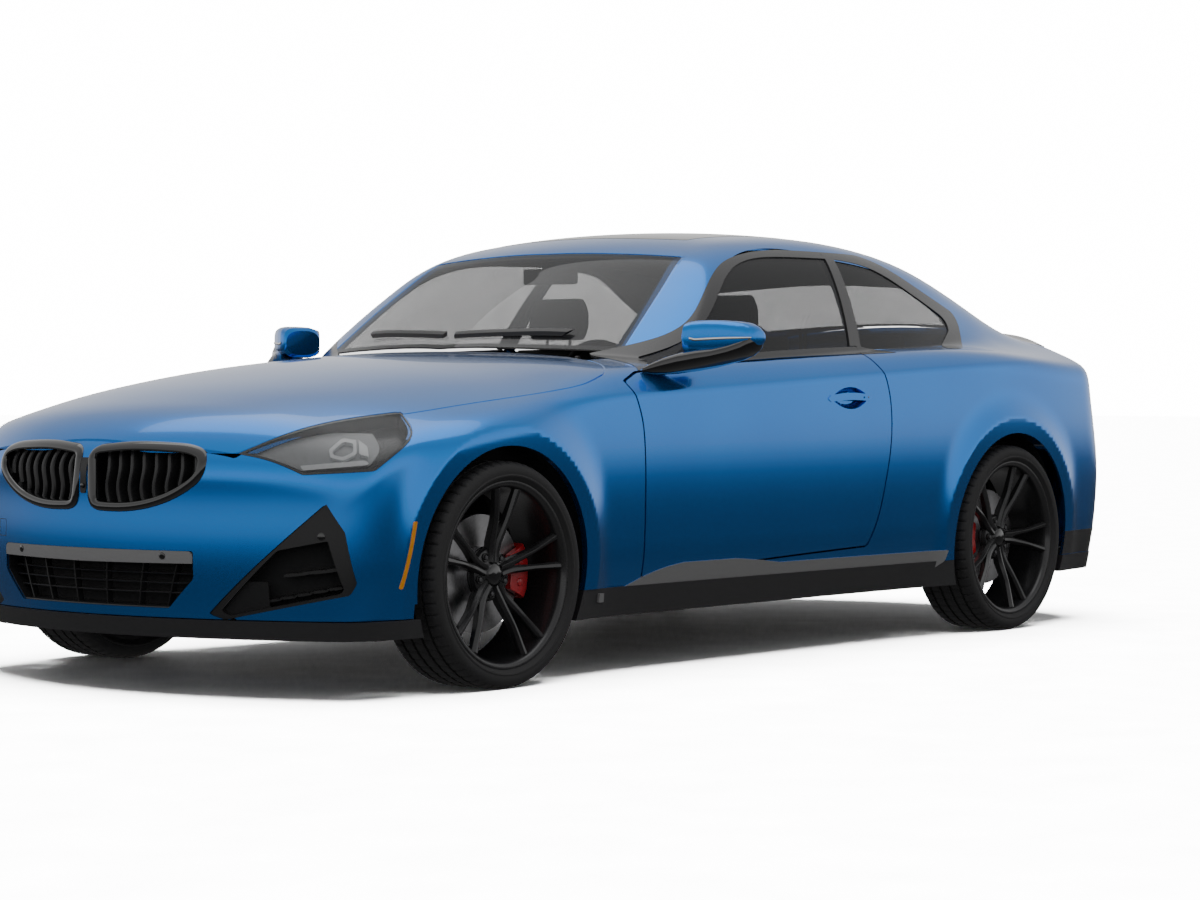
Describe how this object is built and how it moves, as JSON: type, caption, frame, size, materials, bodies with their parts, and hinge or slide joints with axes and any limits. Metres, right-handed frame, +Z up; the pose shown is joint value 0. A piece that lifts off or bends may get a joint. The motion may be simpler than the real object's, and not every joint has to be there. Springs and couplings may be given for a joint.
{
  "type": "coupe car",
  "caption": "Two-door coupe with a long hood, framed grille openings, frameless doors, a short lidded boot, steered front wheels and a hollow cabin with four seats",
  "frame": {"origin": "on the ground, midway between the two ends of the body and on the centre plane", "axes": "the nose points to -X and the tail to +X, the left side of the car is -Y, +Z is up"},
  "size_m": [4.5397, 2.068, 1.4011],
  "materials": {
    "cabin_plastic": "matte",
    "caliper_red": "gloss",
    "cast_metal": "cast",
    "chassis_steel": "matte",
    "disc_steel": "brushed",
    "exhaust_steel": "brushed",
    "glass": "clear",
    "lamp_clear": "clear",
    "lamp_red": "clear",
    "paint_blue": "metallic gloss",
    "rim_black": "gloss",
    "seat_cloth": "matte",
    "trim_black": "matte",
    "trim_gloss": "gloss",
    "tyre": "matte"
  },
  "bodies": {
    "car_body": {"body_sides": "paint_blue", "centre_console": "cabin_plastic", "cowl": "trim_black", "dashboard": "cabin_plastic", "door_hinges": "chassis_steel", "engine_block": "cast_metal", "exhaust": "exhaust_steel", "front_bumper": "paint_blue", "front_fenders": "paint_blue", "front_seats": "seat_cloth", "front_struts": "chassis_steel", "front_subframe": "chassis_steel", "headlamps": "lamp_clear", "interior_mirror": "cabin_plastic", "lower_grilles": "trim_black", "lower_trim": "trim_black", "parcel_shelf": "cabin_plastic", "quarter_windows": "glass", "rear_axle": "cast_metal", "rear_bumper": "paint_blue", "rear_calipers": "caliper_red", "rear_seat": "seat_cloth", "rear_window": "glass", "roof_panel": "paint_blue", "tail_lamps": "lamp_red", "underbody": "chassis_steel", "upper_grilles": "trim_gloss", "wheel_arch_liners": "trim_black", "windshield": "glass", "wipers": "trim_black"},
    "door_left_body": {"door_left": "paint_blue", "door_window_left": "glass", "door_mirror_left": "paint_blue"},
    "door_right_body": {"door_right": "paint_blue", "door_window_right": "glass", "door_mirror_right": "paint_blue"},
    "hood_body": {"hood": "paint_blue"},
    "trunk_lid_body": {"trunk_lid": "paint_blue", "spoiler": "trim_black", "lid_lamps": "lamp_red"},
    "knuckle_left_body": {"front_knuckle_left": "cast_metal", "front_caliper_left": "caliper_red"},
    "knuckle_right_body": {"front_knuckle_right": "cast_metal", "front_caliper_right": "caliper_red"},
    "steering_wheel_body": {"steering_wheel": "cabin_plastic"},
    "wheel_front_left_body": {"tyre_front_left": "tyre", "rim_front_left": "rim_black", "brake_disc_front_left": "disc_steel"},
    "wheel_front_right_body": {"tyre_front_right": "tyre", "rim_front_right": "rim_black", "brake_disc_front_right": "disc_steel"},
    "wheel_rear_left_body": {"tyre_rear_left": "tyre", "rim_rear_left": "rim_black", "brake_disc_rear_left": "disc_steel"},
    "wheel_rear_right_body": {"tyre_rear_right": "tyre", "rim_rear_right": "rim_black", "brake_disc_rear_right": "disc_steel"}
  },
  "joints": [
    {"name": "door_left_hinge", "type": "hinge", "parent": "car_body", "child": "door_left_body", "pos_m": [-0.7405, -0.855, 0.55], "axis": [0, 0, -1], "range_deg": [0, 65]},
    {"name": "door_right_hinge", "type": "hinge", "parent": "car_body", "child": "door_right_body", "pos_m": [-0.7405, 0.855, 0.55], "axis": [0, 0, 1], "range_deg": [0, 65]},
    {"name": "hood_hinge", "type": "hinge", "parent": "car_body", "child": "hood_body", "pos_m": [-0.7065, 0, 0.955], "axis": [0, 1, 0], "range_deg": [0, 50]},
    {"name": "trunk_lid_hinge", "type": "hinge", "parent": "car_body", "child": "trunk_lid_body", "pos_m": [1.8245, 0, 1.06851], "axis": [0, -1, 0], "range_deg": [0, 60]},
    {"name": "steer_left", "type": "hinge", "parent": "car_body", "child": "knuckle_left_body", "pos_m": [-1.4465, -0.715, 0.205], "axis": [0, 0.1657, 0.9862], "range_deg": [-35, 35]},
    {"name": "steer_right", "type": "hinge", "parent": "car_body", "child": "knuckle_right_body", "pos_m": [-1.4465, 0.715, 0.205], "axis": [0, -0.1657, 0.9862], "range_deg": [-35, 35]},
    {"name": "steering_wheel_turn", "type": "hinge", "parent": "car_body", "child": "steering_wheel_body", "pos_m": [-0.3365, -0.372, 0.85], "axis": [0.9135, 0, 0.4067], "range_deg": [-510, 510]},
    {"name": "wheel_front_left_spin", "type": "hinge", "parent": "knuckle_left_body", "child": "wheel_front_left_body", "pos_m": [-1.4465, -0.787, 0.328], "axis": [0, -1, 0], "continuous": true},
    {"name": "wheel_front_right_spin", "type": "hinge", "parent": "knuckle_right_body", "child": "wheel_front_right_body", "pos_m": [-1.4465, 0.787, 0.328], "axis": [0, -1, 0], "continuous": true},
    {"name": "wheel_rear_left_spin", "type": "hinge", "parent": "car_body", "child": "wheel_rear_left_body", "pos_m": [1.2945, -0.795, 0.328], "axis": [0, -1, 0], "continuous": true},
    {"name": "wheel_rear_right_spin", "type": "hinge", "parent": "car_body", "child": "wheel_rear_right_body", "pos_m": [1.2945, 0.795, 0.328], "axis": [0, -1, 0], "continuous": true}
  ],
  "couplings": [
    {"joint": "steer_right", "follows": "steer_left", "ratio": 1},
    {"joint": "steering_wheel_turn", "follows": "steer_left", "ratio": 14.5}
  ]
}
